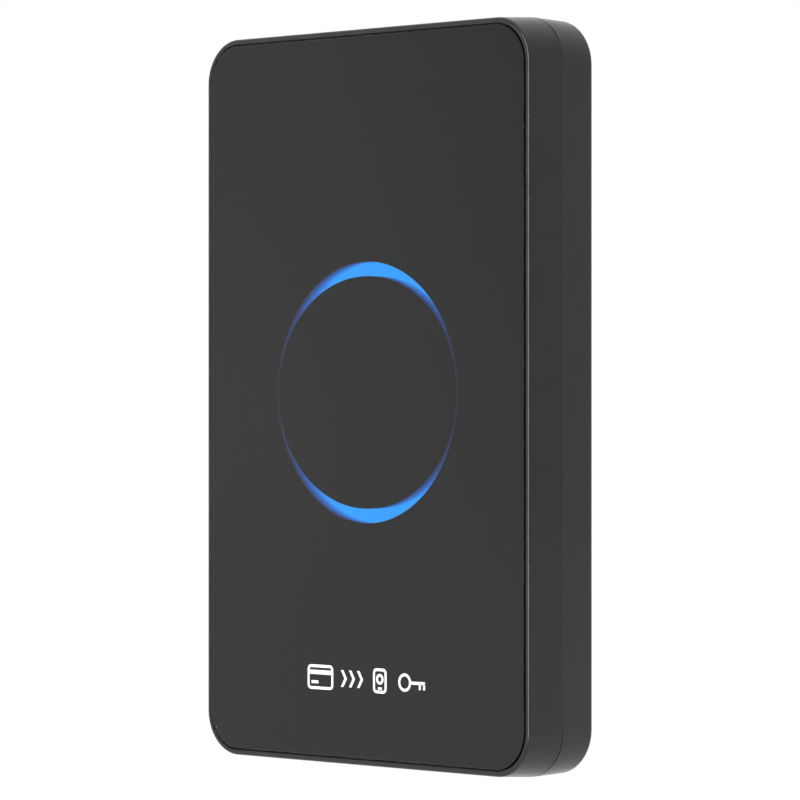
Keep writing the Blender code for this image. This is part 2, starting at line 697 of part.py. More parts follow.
def main():
    remove_startup_objects()
    shell_black = new_material("shell_black", (0.042, 0.042, 0.040), 0.45)
    panel_clear = clear_material("panel_clear", (0.95, 0.96, 0.97), 0.06)
    film_black = new_material("film_black", (0.012, 0.012, 0.012), 0.5)
    tape_grey = new_material("tape_grey", (0.30, 0.30, 0.30), 0.8)
    foot_rubber = new_material("foot_rubber", (0.025, 0.025, 0.025), 0.85)
    label_silver = new_material("label_silver", (0.55, 0.55, 0.56), 0.4)
    guide_blue = glowing_material("guide_blue", (0.015, 0.35, 0.97), 2.0)
    reflector_white = new_material("reflector_white", (0.75, 0.75, 0.73), 0.5)
    led_blue = glowing_material("led_blue", (0.10, 0.35, 0.95), 3.0)
    board_green = new_material("board_green", (0.010, 0.11, 0.035), 0.35)
    wire_copper = new_material("wire_copper", (0.60, 0.22, 0.08), 0.35, 1.0)
    chip_black = new_material("chip_black", (0.03, 0.03, 0.03), 0.5)
    ceramic_tan = new_material("ceramic_tan", (0.42, 0.31, 0.20), 0.5)
    tantalum_yellow = new_material("tantalum_yellow", (0.70, 0.43, 0.06), 0.5)
    ferrite_grey = new_material("ferrite_grey", (0.09, 0.09, 0.09), 0.6)
    screw_steel = new_material("screw_steel", (0.56, 0.56, 0.55), 0.3, 1.0)
    buzzer_black = new_material("buzzer_black", (0.02, 0.02, 0.02), 0.4)

    make_front_shell(shell_black)
    make_rear_cover(shell_black)
    make_front_panel(panel_clear)
    make_mask_film(film_black)
    make_panel_tape(tape_grey)
    for number, place in enumerate(boss_places(), 1):
        make_foot(number, place, foot_rubber)
    make_label(label_silver)
    make_screws(screw_steel)
    make_light_guide(guide_blue)
    make_reflector(reflector_white)
    make_leds(led_blue)
    make_board(board_green)
    make_aerial(wire_copper)
    make_chips(chip_black)
    make_passives(ceramic_tan, tantalum_yellow, ferrite_grey, screw_steel)
    make_buzzer(buzzer_black)
    make_usb_socket(screw_steel, chip_black)


main()
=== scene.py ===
"""Looks of the slim RFID card reader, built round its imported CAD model.

Depths are counted backwards from the rim of the front shell, and (x, z) places from the case's centre.
"""

import math

import bmesh
import bpy
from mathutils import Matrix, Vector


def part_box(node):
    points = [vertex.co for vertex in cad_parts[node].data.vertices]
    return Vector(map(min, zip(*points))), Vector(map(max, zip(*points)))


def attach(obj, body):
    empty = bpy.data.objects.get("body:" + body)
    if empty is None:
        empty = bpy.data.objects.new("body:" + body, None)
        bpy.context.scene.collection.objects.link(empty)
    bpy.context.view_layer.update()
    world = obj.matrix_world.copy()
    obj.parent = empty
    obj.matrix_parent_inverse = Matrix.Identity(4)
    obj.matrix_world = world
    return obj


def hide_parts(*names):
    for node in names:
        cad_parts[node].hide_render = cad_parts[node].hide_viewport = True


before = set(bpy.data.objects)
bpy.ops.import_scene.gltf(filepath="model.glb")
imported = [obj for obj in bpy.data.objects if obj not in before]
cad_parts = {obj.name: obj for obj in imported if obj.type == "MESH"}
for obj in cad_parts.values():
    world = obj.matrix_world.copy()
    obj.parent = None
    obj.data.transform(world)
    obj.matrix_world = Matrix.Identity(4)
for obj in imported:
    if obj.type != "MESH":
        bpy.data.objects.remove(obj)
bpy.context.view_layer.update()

MM = 0.001

# Case, from the CAD model's boxes and its driving sizes
FRONT_LOW, FRONT_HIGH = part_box("front_shell")
REAR_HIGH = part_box("rear_cover")[1]
RIM_Y = FRONT_LOW.y
CENTRE_Z = (FRONT_LOW.z + FRONT_HIGH.z) / 2
HALF_X = FRONT_HIGH.x
HALF_Z = FRONT_HIGH.z - CENTRE_Z
CASE_DEPTH = REAR_HIGH.y - RIM_Y
SEAM = FRONT_HIGH.y - RIM_Y + 0.1 * MM
CORNER_RADIUS = 7.0 * MM
FRONT_DRAFT = math.radians(3.3)
REAR_DRAFT = math.radians(1.9)
WALL = 1.8 * MM
WALL_TAPER = 0.1 * MM
SEAM_GAP = 0.05 * MM
SEAM_ROUND = 0.05 * MM
CORNER_GAP = 0.16 * MM
SEAM_REACH = 0.2 * MM
LIP_LENGTH = 1.2 * MM
LIP_GAP = 0.2 * MM
LIP_INSET = 1.15 * MM
REBATE_INSET = 0.85 * MM
BACK_FILLET = 0.7 * MM
FLOOR_WALL = 1.5 * MM

# Rim and the layers behind it
RIM_FILLET = 0.36 * MM
RIM_WIDTH = 0.65 * MM
RIM_END_EXTRA = 0.12 * MM  # wider at the two short ends
RIM_EDGE = 0.04 * MM
PANEL_GAP = 0.24 * MM
PANEL_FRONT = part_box("front_panel")[0].y - RIM_Y
PANEL_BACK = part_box("front_panel")[1].y - RIM_Y
PANEL_EDGE = 0.04 * MM
PANEL_SHIFT = -0.19 * MM
PRINT_MARGIN = 0.03 * MM
PRINT_FRONT = PANEL_BACK - 0.010 * MM
INK_FRONT = PANEL_BACK - 0.025 * MM
INK_BACK = PRINT_FRONT + 0.005 * MM
FILM_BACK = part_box("mask_film")[1].y - RIM_Y
FRONT_WALL = 1.66 * MM
FRONT_WALL_BACK = 2.75 * MM
RIM_OUTER = math.tan(FRONT_DRAFT) * (SEAM - RIM_FILLET)
RIM_INNER = RIM_OUTER + RIM_WIDTH
PANEL_INSET = RIM_INNER + PANEL_GAP
BACK_INSET = math.tan(REAR_DRAFT) * (CASE_DEPTH - SEAM - BACK_FILLET)
COVER_FLOOR = CASE_DEPTH - FLOOR_WALL

# Ring light
RING_RADIUS = 19.43 * MM
RING_INNER_X = 19.15 * MM
RING_INNER_Z = 17.26 * MM
RING_RAISED = 0.70 * MM
SLOT_ANGLE = math.radians(88.4)
SLOT_MARGIN = 0.45 * MM
SKIRT_ANGLE = math.radians(88.0)
SKIRT_WALL = 0.33 * MM
TROUGH_ANGLE = math.radians(87.5)
SKIRT_FRONT = FILM_BACK + 0.01 * MM
TROUGH_FLOOR = 3.95 * MM
GUIDE_OUTER = 22.15 * MM
GUIDE_INNER = 15.2 * MM
GUIDE_FRONT = 2.87 * MM
GUIDE_BACK = 4.55 * MM
GLOW_FADE = (  # share of the quarter turn from the ring's top or bottom to its side, and the brightness there
    (0.0, 1.0), (0.33, 1.0), (0.40, 0.95), (0.47, 0.86),
    (0.53, 0.76), (0.60, 0.60), (0.67, 0.50), (0.75, 0.45),
)
GLOW_AT_SKIRT = 0.05

# Fixings, feet, label, socket
BOSS_X = 27.8 * MM
BOSS_Z = 47.8 * MM
BOSS_RADIUS = 2.5 * MM
BOSS_GAP = 0.1 * MM
PILOT_RADIUS = 1.25 * MM
SUPPORT_RADIUS = 3.2 * MM
SUPPORT_GAP = 0.3 * MM
RIB_HALF_X = HALF_X - 6 * MM
RIB_HALF_Z = 0.4 * MM
RIB_Z = 33.0 * MM
RIB_HEIGHT = 1.3 * MM
ROOT_DEPTH = 0.5 * MM  # how far bosses, ribs and skirts are sunk into what carries them
POCKET_LIP = 0.12 * MM
SCREW_POCKET_RADIUS = 2.3 * MM
SCREW_HOLE_RADIUS = 1.3 * MM
SCREW_SEAT = CASE_DEPTH - 2.2 * MM
FOOT_RADIUS = 4.0 * MM
FOOT_RECESS = 0.5 * MM
FOOT_CLEARANCE = 0.2 * MM
FOOT_EDGE = 0.3 * MM
FOOT_GROOVE = 0.10 * MM
FOOT_GLUE = 0.05 * MM
FOOT_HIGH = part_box("rubber_foot_1")[1].y - RIM_Y
BUZZER_PLACE = (15.0 * MM, -2.0 * MM)
SOUND_HOLE_RADIUS = 0.55 * MM
SOUND_HOLE_RING = 2.2 * MM
LABEL_PLACE = (0.0, -24.0 * MM)
LABEL_HALF = (22.0 * MM, 12.5 * MM)
LABEL_RECESS = 0.3 * MM
LABEL_CLEARANCE = 0.25 * MM
LABEL_CORNER = 1.2 * MM
LABEL_LIP = 0.10 * MM
USB_HALF_X = 4.47 * MM
USB_HALF_DEPTH = 1.58 * MM
USB_WALL = 0.3 * MM
USB_CLEARANCE = 0.3 * MM
USB_LIP = 0.22 * MM
USB_LIP_BELOW = 0.04 * MM
USB_STRAIGHT_BELOW = 0.30 * MM
USB_STRAIGHT_END = 0.05 * MM
USB_MOUTH_EDGE = 0.12 * MM
TONGUE_HALF = (3.35 * MM, 0.35 * MM)
TONGUE_NOSE = (3.20 * MM, 0.22 * MM)
TONGUE_CORNER = 0.1 * MM
CONTACTS = 12
CONTACT_PITCH = 0.5 * MM
CONTACT_HALF = (0.13 * MM, 0.035 * MM)
CONTACT_DEPTH = 0.34 * MM
USB_LOW, USB_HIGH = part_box("usb_shell")
USB_DEPTH = (USB_LOW.y + USB_HIGH.y) / 2 - RIM_Y
CORNERS = [(x, z) for z in (1, -1) for x in (-1, 1)]
PAST = 1.0 * MM

# Camera: level, turned towards the reader's right-hand side
VIEW_YAW = math.radians(46.6)
VIEW_TURN = math.radians(0.487)
VIEW_DISTANCE = 659.8 * MM
VIEW_DROP = 0.424 * MM
LENS_MM = 200.21

CORNER_STEPS = 24
RING_STEPS = 144
ROUND_STEPS = 48
SMALL_STEPS = 10
SHARP_ANGLE = math.radians(32.0)


# Outlines: lists of (x, z) points, anticlockwise as seen from the front


def rounded_rectangle(half_x, half_z, radius, steps=CORNER_STEPS, centre=(0.0, 0.0)):
    points = []
    for quarter in range(4):
        sign_x = (1, -1, -1, 1)[quarter]
        sign_z = (1, 1, -1, -1)[quarter]
        for step in range(steps + 1):
            angle = math.radians(90.0) * (quarter + step / steps)
            x = centre[0] + sign_x * (half_x - radius) + radius * math.cos(angle)
            z = centre[1] + sign_z * (half_z - radius) + radius * math.sin(angle)
            points.append((x, z))
    return points


def case_outline(inset):
    return rounded_rectangle(HALF_X - inset, HALF_Z - inset, CORNER_RADIUS - inset)


def opening_outline(inset):
    """The rim's opening, or what lies in it. The rim is a little wider at the two short ends."""
    return rounded_rectangle(HALF_X - inset, HALF_Z - inset - RIM_END_EXTRA, CORNER_RADIUS - inset)


def rectangle(half_x, half_z, centre=(0.0, 0.0)):
    signs = ((1, 1), (-1, 1), (-1, -1), (1, -1))
    return [(centre[0] + sign_x * half_x, centre[1] + sign_z * half_z) for sign_x, sign_z in signs]


def ellipse(radius_x, radius_z, steps, centre):
    angles = [2 * math.pi * step / steps for step in range(steps)]
    return [(centre[0] + radius_x * math.cos(a), centre[1] + radius_z * math.sin(a)) for a in angles]


def circle(radius, steps, centre=(0.0, 0.0)):
    return ellipse(radius, radius, steps, centre)


def inner_edge(angle):
    """How far the ring window's oval inner edge lies from its centre, at an angle from straight up."""
    return 1.0 / math.hypot(math.sin(angle) / RING_INNER_X, math.cos(angle) / RING_INNER_Z)


def crescent(middle, half_angle, margin=0.0):
    """The ring window, widened by the margin, over a sector about the middle angle."""
    steps = RING_STEPS // 2
    angles = [middle + half_angle * (2 * step / steps - 1) for step in range(steps + 1)]
    edges = [(RING_RADIUS + margin, a) for a in angles]
    edges += [(inner_edge(a) - margin, a) for a in reversed(angles)]
    return [(distance * math.sin(a), RING_RAISED + distance * math.cos(a)) for distance, a in edges]


def fillet(radius, steps):
    """Pairs of (sideways, depth) from the side of an edge, round to its top."""
    angles = [math.radians(90.0) * step / steps for step in range(steps + 1)]
    return [(radius * (1 - math.cos(a)), radius * (1 - math.sin(a))) for a in angles]


# Meshes: rings of points, joined one to the next


def add_rings(mesh, rings, along="Y", looped=False):
    """Joins outlines of equal length. They lie at depths behind the rim, or at heights when along is Z."""
    loops = []
    for outline, distance in rings:
        if along == "Y":
            corners = [(x, RIM_Y + distance, CENTRE_Z + z) for x, z in outline]
        else:
            corners = [(x, RIM_Y + depth, distance) for x, depth in outline]
        loops.append([mesh.verts.new(corner) for corner in corners])
    pairs = list(zip(loops, loops[1:]))
    if looped:
        pairs.append((loops[-1], loops[0]))
    else:
        mesh.faces.new(loops[0])
        mesh.faces.new(loops[-1])
    for near, far in pairs:
        for i, corner in enumerate(near):
            mesh.faces.new((near[i - 1], corner, far[i], far[i - 1]))


def new_piece(name, mesh):
    bmesh.ops.recalc_face_normals(mesh, faces=mesh.faces)
    data = bpy.data.meshes.new(name)
    mesh.to_mesh(data)
    mesh.free()
    piece = bpy.data.objects.new(name, data)
    bpy.context.scene.collection.objects.link(piece)
    return piece


def build(name, shapes, along="Y", looped=False):
    """One mesh of one or more closed shapes."""
    mesh = bmesh.new()
    for rings in shapes:
        add_rings(mesh, rings, along, looped)
    return new_piece(name, mesh)


def prism(outline, front, back):
    return [(outline, front), (outline, back)]


def combine(piece, shapes, operation, along="Y", looped=False):
    """Cuts the shapes from the piece, or joins them to it, at once."""
    other = build(piece.name + "_other", shapes, along, looped)
    modifier = piece.modifiers.new("combine", "BOOLEAN")
    modifier.operation = operation
    modifier.solver = "EXACT"
    modifier.object = other
    graph = bpy.context.evaluated_depsgraph_get()
    result = bpy.data.meshes.new_from_object(piece.evaluated_get(graph))
    piece.modifiers.clear()
    piece.data = result
    bpy.data.objects.remove(other, do_unlink=True)


def finish_piece(piece, material, slot, *nodes):
    """Smooth shading with sharp edges kept, then the material and the CAD nodes the piece stands for."""
    data = piece.data
    data.materials.clear()
    data.materials.append(material)
    data.shade_smooth()
    data.set_sharp_from_angle(angle=SHARP_ANGLE)
    shading = piece.modifiers.new("shading", "WEIGHTED_NORMAL")
    shading.keep_sharp = True
    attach(piece, "root")
    if nodes:
        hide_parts(*nodes)


# Casing


def open_seam_at_corners(piece, seam_edge, side):
    """The two shells part a little at the corners. side is -1 for the front one."""
    reach = (CORNER_GAP - SEAM_GAP) / 2
    for vertex in piece.data.vertices:
        if abs(vertex.co.y - RIM_Y - seam_edge) < SEAM_REACH:
            past_x = max(abs(vertex.co.x) - (HALF_X - CORNER_RADIUS), 0.0)
            past_z = max(abs(vertex.co.z - CENTRE_Z) - (HALF_Z - CORNER_RADIUS), 0.0)
            vertex.co.y += side * reach * min(1.0, 2 * past_x * past_z / CORNER_RADIUS**2)


def boss_places():
    return [(x * BOSS_X, z * BOSS_Z) for x, z in CORNERS]


def round_posts(radius, front, back):
    """One upright cylinder at each case screw."""
    return [prism(circle(radius, ROUND_STEPS, place), front, back) for place in boss_places()]


def usb_opening(lip):
    """The outline of the socket's opening, in x and depth, widened by the lip."""
    half_x = USB_HALF_X + USB_CLEARANCE + lip
    half_depth = USB_HALF_DEPTH + USB_CLEARANCE + lip
    return rounded_rectangle(half_x, half_depth, USB_HALF_DEPTH + lip, SMALL_STEPS, (0.0, USB_DEPTH))


def usb_cutter():
    """Straight through the top wall, with a rounded lip at the surface."""
    top = CENTRE_Z + HALF_Z
    rings = [(usb_opening(0.0), USB_LOW.z - USB_WALL), (usb_opening(0.0), top - USB_STRAIGHT_BELOW)]
    rings += [(usb_opening(side), top - USB_LIP_BELOW - depth) for side, depth in fillet(USB_LIP, 4)]
    rings += [(usb_opening(USB_LIP), top + PAST)]
    return rings


def front_shell(material):
    rings = [
        (case_outline(WALL + WALL_TAPER), FRONT_WALL_BACK),
        (case_outline(WALL), SEAM - LIP_LENGTH),
        (case_outline(REBATE_INSET), SEAM - LIP_LENGTH),
        (case_outline(REBATE_INSET), SEAM - SEAM_GAP / 2),
    ]
    rings += [
        (case_outline(side), SEAM - SEAM_GAP / 2 - depth) for side, depth in reversed(fillet(SEAM_ROUND, 4))
    ]
    rings += [(case_outline(RIM_OUTER + side), depth) for side, depth in fillet(RIM_FILLET, 9)]
    rings += [(opening_outline(RIM_INNER - side), depth) for side, depth in reversed(fillet(RIM_EDGE, 3))]
    rings += [(opening_outline(RIM_INNER), FRONT_WALL)]
    shell = build("front_shell_moulding", [rings])
    open_seam_at_corners(shell, SEAM - SEAM_GAP / 2, -1)
    bosses = round_posts(BOSS_RADIUS, FRONT_WALL_BACK - ROOT_DEPTH, SEAM - BOSS_GAP)
    combine(shell, bosses, "UNION")
    slots = [
        prism(crescent(middle, SLOT_ANGLE, SLOT_MARGIN), FRONT_WALL - PAST, FRONT_WALL_BACK + PAST)
        for middle in (0.0, math.pi)
    ]
    pilots = round_posts(PILOT_RADIUS, FRONT_WALL_BACK, SEAM + PAST)
    combine(shell, slots + pilots, "DIFFERENCE")
    combine(shell, [usb_cutter()], "DIFFERENCE", along="Z")
    finish_piece(shell, material, "shell_black", "front_shell")


def pocket(make_outline, floor, lip):
    """A pocket in the back face with a rounded lip. make_outline gives the outline widened by a distance."""
    rings = [(make_outline(0.0), floor)]
    rings += [(make_outline(side), CASE_DEPTH - lip + depth) for side, depth in quarter_lip(lip)]
    rings += [(make_outline(lip), CASE_DEPTH + PAST)]
    return rings


def quarter_lip(radius, steps=4):
    """Pairs of (sideways, depth) that flare outwards, from the pocket's wall to the face."""
    angles = [math.radians(90.0) * step / steps for step in range(steps + 1)]
    return [(radius * (1 - math.cos(a)), radius * math.sin(a)) for a in angles]


def rear_cutters():
    cutters = []
    for place in boss_places():
        foot_pocket = pocket(
            lambda d: circle(FOOT_RADIUS + FOOT_CLEARANCE + d, ROUND_STEPS, place),
            CASE_DEPTH - FOOT_RECESS,
            POCKET_LIP,
        )
        cutters.append(foot_pocket)
        stepped = [
            (SCREW_HOLE_RADIUS, SEAM - PAST),
            (SCREW_HOLE_RADIUS, SCREW_SEAT),
            (SCREW_POCKET_RADIUS, SCREW_SEAT),
            (SCREW_POCKET_RADIUS, CASE_DEPTH - FOOT_RECESS + 0.1 * MM),
        ]
        cutters.append([(circle(radius, ROUND_STEPS, place), depth) for radius, depth in stepped])
    half_x = LABEL_HALF[0] + LABEL_CLEARANCE
    half_z = LABEL_HALF[1] + LABEL_CLEARANCE
    corner = LABEL_CORNER + LABEL_CLEARANCE
    label_pocket = pocket(
        lambda d: rounded_rectangle(half_x + d, half_z + d, corner + d, SMALL_STEPS, LABEL_PLACE),
        CASE_DEPTH - LABEL_RECESS,
        LABEL_LIP,
    )
    cutters.append(label_pocket)
    for place in [BUZZER_PLACE] + circle(SOUND_HOLE_RING, 6, BUZZER_PLACE):
        hole = pocket(lambda d: circle(SOUND_HOLE_RADIUS + d, 24, place), COVER_FLOOR - PAST, POCKET_LIP)
        cutters.append(hole)
    return cutters


def rear_cover(material):
    rings = [
        (case_outline(WALL + WALL_TAPER), COVER_FLOOR),
        (case_outline(WALL), SEAM - LIP_LENGTH + LIP_GAP),
        (case_outline(LIP_INSET), SEAM - LIP_LENGTH + LIP_GAP),
        (case_outline(LIP_INSET), SEAM + SEAM_GAP / 2),
    ]
    rings += [
        (case_outline(side), SEAM + SEAM_GAP / 2 + depth) for side, depth in reversed(fillet(SEAM_ROUND, 4))
    ]
    rings += [(case_outline(BACK_INSET + side), CASE_DEPTH - depth) for side, depth in fillet(BACK_FILLET, 9)]
    cover = build("rear_cover_moulding", [rings])
    open_seam_at_corners(cover, SEAM + SEAM_GAP / 2, 1)
    supports = round_posts(SUPPORT_RADIUS, SEAM + SUPPORT_GAP, COVER_FLOOR + ROOT_DEPTH)
    for height in (-RIB_Z, RIB_Z):
        rib = rectangle(RIB_HALF_X, RIB_HALF_Z, (0.0, height))
        supports.append(prism(rib, COVER_FLOOR - RIB_HEIGHT, COVER_FLOOR + ROOT_DEPTH))
    combine(cover, supports, "UNION")
    for cutter in rear_cutters():
        combine(cover, [cutter], "DIFFERENCE")
    combine(cover, [usb_cutter()], "DIFFERENCE", along="Z")
    finish_piece(cover, material, "shell_black", "rear_cover")


def shifted(outline):
    """The panel lies in its pocket a hair to the left."""
    return [(x + PANEL_SHIFT, z) for x, z in outline]


def acrylic_panel(material, bonded):
    rings = [(opening_outline(PANEL_INSET), PANEL_BACK)]
    rings += [
        (opening_outline(PANEL_INSET + side), PANEL_FRONT + depth) for side, depth in fillet(PANEL_EDGE, 4)
    ]
    rings = [(shifted(outline), depth) for outline, depth in rings]
    panel = build("acrylic_panel", [rings])
    panel.visible_shadow = False
    finish_piece(panel, material, "panel_clear", "front_panel")
    panel.data.materials.append(bonded)
    for face in panel.data.polygons:
        if face.center.y > RIM_Y + PANEL_BACK - 0.1 * MM:
            face.material_index = 1


def printed_mask(material):
    """The black print: a frame with a round hole, and an oval middle."""
    outline = shifted(opening_outline(PANEL_INSET + PRINT_MARGIN))
    mask = build("printed_mask", [prism(outline, PRINT_FRONT, FILM_BACK)])
    centre = (0.0, RING_RAISED)
    outer = circle(RING_RADIUS, RING_STEPS, centre)
    inner = ellipse(RING_INNER_X, RING_INNER_Z, RING_STEPS, centre)
    front = PRINT_FRONT - PAST
    back = FILM_BACK + PAST
    combine(mask, [[(outer, front), (outer, back), (inner, back), (inner, front)]], "DIFFERENCE", looped=True)
    finish_piece(mask, material, "film_black", "mask_film")


def light_guide(material):
    """A milky ring with two raised crescents, each hollowed by a trough that glows."""
    centre = (0.0, RING_RAISED)
    outer = circle(GUIDE_OUTER, RING_STEPS, centre)
    inner = circle(GUIDE_INNER, RING_STEPS, centre)
    rings = [(outer, GUIDE_FRONT), (outer, GUIDE_BACK), (inner, GUIDE_BACK), (inner, GUIDE_FRONT)]
    guide = build("milky_light_guide", [rings], looped=True)
    sides = (0.0, math.pi)
    root = GUIDE_FRONT + ROOT_DEPTH
    skirts = [prism(crescent(middle, SKIRT_ANGLE, SKIRT_WALL), SKIRT_FRONT, root) for middle in sides]
    combine(guide, skirts, "UNION")
    troughs = [prism(crescent(middle, TROUGH_ANGLE), SKIRT_FRONT - PAST, TROUGH_FLOOR) for middle in sides]
    combine(guide, troughs, "DIFFERENCE")
    finish_piece(guide, material, "guide_blue", "light_guide")


# Pictograms: a card, three chevrons, a reader with its ring, and a key, in white ink behind the panel

ICON_HEIGHT = 3.7 * MM
ICON_ROW_Z = -41.98 * MM
ICON_STROKE = 0.42 * MM
ICON_CORNER = 0.75 * MM
CARD_X = -9.85 * MM
CARD_HALF_X = 2.82 * MM
CHEVRON_X = -5.35 * MM
CHEVRON_STEP = 1.75 * MM
CHEVRON_HALF_Z = 1.25 * MM
CHEVRON_SLOPE = 0.62
CHEVRON_WEIGHT = 1.25
READER_X = 3.05 * MM
READER_HALF_X = 1.45 * MM
READER_RING = 0.80 * MM
KEY_X = 8.35 * MM
KEY_RING = 1.35 * MM
KEY_SHAFT = 2.75 * MM
KEY_TEETH = (0.45 * MM, 1.34 * MM)


def band(outer, inner):
    return [(outer, INK_FRONT), (outer, INK_BACK), (inner, INK_BACK), (inner, INK_FRONT)]


def icon_frame(half_x, place):
    outlines = []
    for inset in (0.0, ICON_STROKE):
        half_z = ICON_HEIGHT / 2 - inset
        outlines.append(rounded_rectangle(half_x - inset, half_z, ICON_CORNER - inset, 8, place))
    return band(*outlines)


def icon_ring(radius, place):
    return band(circle(radius, ROUND_STEPS, place), circle(radius - ICON_STROKE, ROUND_STEPS, place))


def icon_solid(outline):
    return prism(outline, INK_FRONT, INK_BACK)


def bar(half_x, half_z, centre, right=0.0, up=0.0):
    """A filled rectangle at an offset from a pictogram's centre."""
    return icon_solid(rectangle(half_x, half_z, (centre[0] + right, centre[1] + up)))


def chevron(x):
    """An arrow head pointing right, a little heavier than the stroke."""
    tip = x + CHEVRON_HALF_Z * CHEVRON_SLOPE
    width = ICON_STROKE * CHEVRON_WEIGHT
    top = ICON_ROW_Z + CHEVRON_HALF_Z
    bottom = ICON_ROW_Z - CHEVRON_HALF_Z
    points = [(tip + width, ICON_ROW_Z), (x + width, top), (x, top)]
    points += [(tip, ICON_ROW_Z), (x, bottom), (x + width, bottom)]
    return icon_solid(points)


def pictograms(material):
    card = (CARD_X, ICON_ROW_Z)
    reader = (READER_X, ICON_ROW_Z)
    key = (KEY_X, ICON_ROW_Z)
    shaft = (KEY_X + KEY_SHAFT, ICON_ROW_Z)
    hollow = [icon_frame(CARD_HALF_X, card), icon_frame(READER_HALF_X, reader)]
    hollow += [icon_ring(READER_RING, (READER_X, ICON_ROW_Z + 0.25 * MM)), icon_ring(KEY_RING, key)]
    filled = [bar(2.6 * MM, 0.32 * MM, card, up=0.72 * MM)]
    filled += [bar(0.75 * MM, 0.22 * MM, card, right=-1.2 * MM, up=-0.75 * MM)]
    filled += [chevron(CHEVRON_X + CHEVRON_STEP * number) for number in range(3)]
    filled += [bar(0.42 * MM, 0.16 * MM, reader, up=-1.12 * MM)]
    filled += [bar(1.55 * MM, 0.23 * MM, shaft)]
    filled += [bar(0.21 * MM, 0.5 * MM, shaft, right=tooth, up=-0.45 * MM) for tooth in KEY_TEETH]
    mesh = bmesh.new()
    for rings in hollow:
        add_rings(mesh, rings, looped=True)
    for rings in filled:
        add_rings(mesh, rings)
    finish_piece(new_piece("white_pictograms", mesh), material, "film_black")


# Back and top


def feet(material):
    for number, place in enumerate(boss_places(), 1):
        rings = [(circle(FOOT_RADIUS, ROUND_STEPS, place), CASE_DEPTH - FOOT_RECESS + FOOT_GLUE)]
        steps = fillet(FOOT_EDGE, 5)
        steps += [(0.75 * MM, 0.0), (0.90 * MM, FOOT_GROOVE), (1.20 * MM, FOOT_GROOVE), (1.35 * MM, 0.0)]
        for side, depth in steps:
            rings.append((circle(FOOT_RADIUS - side, ROUND_STEPS, place), FOOT_HIGH - depth))
        foot = build(f"rubber_foot_pad_{number}", [rings])
        finish_piece(foot, material, "foot_rubber", f"rubber_foot_{number}")


def blank_label(material):
    front, back = (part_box("rear_label")[side].y - RIM_Y for side in (0, 1))
    edge = 0.03 * MM
    half_x, half_z = (half - edge for half in LABEL_HALF)
    outline = rounded_rectangle(*LABEL_HALF, LABEL_CORNER, SMALL_STEPS, LABEL_PLACE)
    inner = rounded_rectangle(half_x, half_z, LABEL_CORNER - edge, SMALL_STEPS, LABEL_PLACE)
    label = build("blank_label", [[(outline, front), (outline, back - edge), (inner, back)]])
    finish_piece(label, material, "label_silver", "rear_label")


def usb_outline(inset):
    """The steel shell's outline, in x and depth, drawn in by the inset."""
    half_x = USB_HALF_X - inset
    half_depth = USB_HALF_DEPTH - inset
    radius = USB_HALF_DEPTH - USB_STRAIGHT_END - inset
    return rounded_rectangle(half_x, half_depth, radius, SMALL_STEPS, (0.0, USB_DEPTH))


def tongue_outline(half):
    return rounded_rectangle(*half, TONGUE_CORNER, 3, (0.0, USB_DEPTH))


def usb_socket(steel, plastic, gold):
    """The steel shell, open at the top, and in it the tongue with a row of contacts on each side."""
    mouth = USB_HIGH.z
    rings = [(usb_outline(0.0), USB_LOW.z)]
    rings += [(usb_outline(side), mouth - depth) for side, depth in fillet(USB_MOUTH_EDGE, 4)]
    rings += [(usb_outline(USB_WALL), mouth - USB_MOUTH_EDGE), (usb_outline(USB_WALL), USB_LOW.z + 0.5 * MM)]
    finish_piece(build("socket_shell", [rings], along="Z"), steel, "screw_steel", "usb_shell")
    base = USB_LOW.z + 0.6 * MM
    tip = mouth - 0.7 * MM
    block = prism(usb_outline(USB_WALL + 0.05 * MM), base, base + 1.4 * MM)
    blade = prism(tongue_outline(TONGUE_HALF), base + 0.5 * MM, tip - 0.15 * MM)
    blade.append((tongue_outline(TONGUE_NOSE), tip))
    tongue = build("socket_tongue", [block], along="Z")
    combine(tongue, [blade], "UNION", along="Z")
    finish_piece(tongue, plastic, "chip_black", "usb_tongue")
    contacts = []
    for side in (-1, 1):
        for number in range(CONTACTS):
            place = ((number - (CONTACTS - 1) / 2) * CONTACT_PITCH, USB_DEPTH + side * CONTACT_DEPTH)
            contacts.append(prism(rectangle(*CONTACT_HALF, place), base + 1.2 * MM, tip - 0.4 * MM))
    finish_piece(build("socket_contacts", contacts, along="Z"), gold, "screw_steel")


def smoothed_copies(materials):
    """The inner pieces that CAD shapes rightly, as welded and smoothly shaded meshes."""
    for node, (material, slot) in materials.items():
        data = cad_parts[node].data.copy()
        mesh = bmesh.new()
        mesh.from_mesh(data)
        bmesh.ops.remove_doubles(mesh, verts=mesh.verts, dist=1e-6)
        finish_piece(new_piece(node + "_finished", mesh), material, slot, node)


# Materials


def new_material(name, colour, roughness, metallic=0.0):
    material = bpy.data.materials.new(name)
    material.use_nodes = True
    shader = material.node_tree.nodes["Principled BSDF"]
    shader.inputs["Base Color"].default_value = (*colour, 1.0)
    shader.inputs["Roughness"].default_value = roughness
    shader.inputs["Metallic"].default_value = metallic
    return material


def node(material, kind, values=None, **settings):
    """Adds a node. values sets or links its inputs, by name or number."""
    tree = material.node_tree
    made = tree.nodes.new(kind)
    for key, value in settings.items():
        setattr(made, key, value)
    for key, value in (values or {}).items():
        if isinstance(value, bpy.types.NodeSocket):
            tree.links.new(value, made.inputs[key])
        else:
            made.inputs[key].default_value = value
    return made


def link(material, socket, name):
    shader = material.node_tree.nodes["Principled BSDF"]
    material.node_tree.links.new(socket, shader.inputs[name])


def maths(material, operation, *values):
    return node(material, "ShaderNodeMath", dict(enumerate(values)), operation=operation).outputs[0]


def position(material):
    return node(material, "ShaderNodeTexCoord").outputs["Object"]


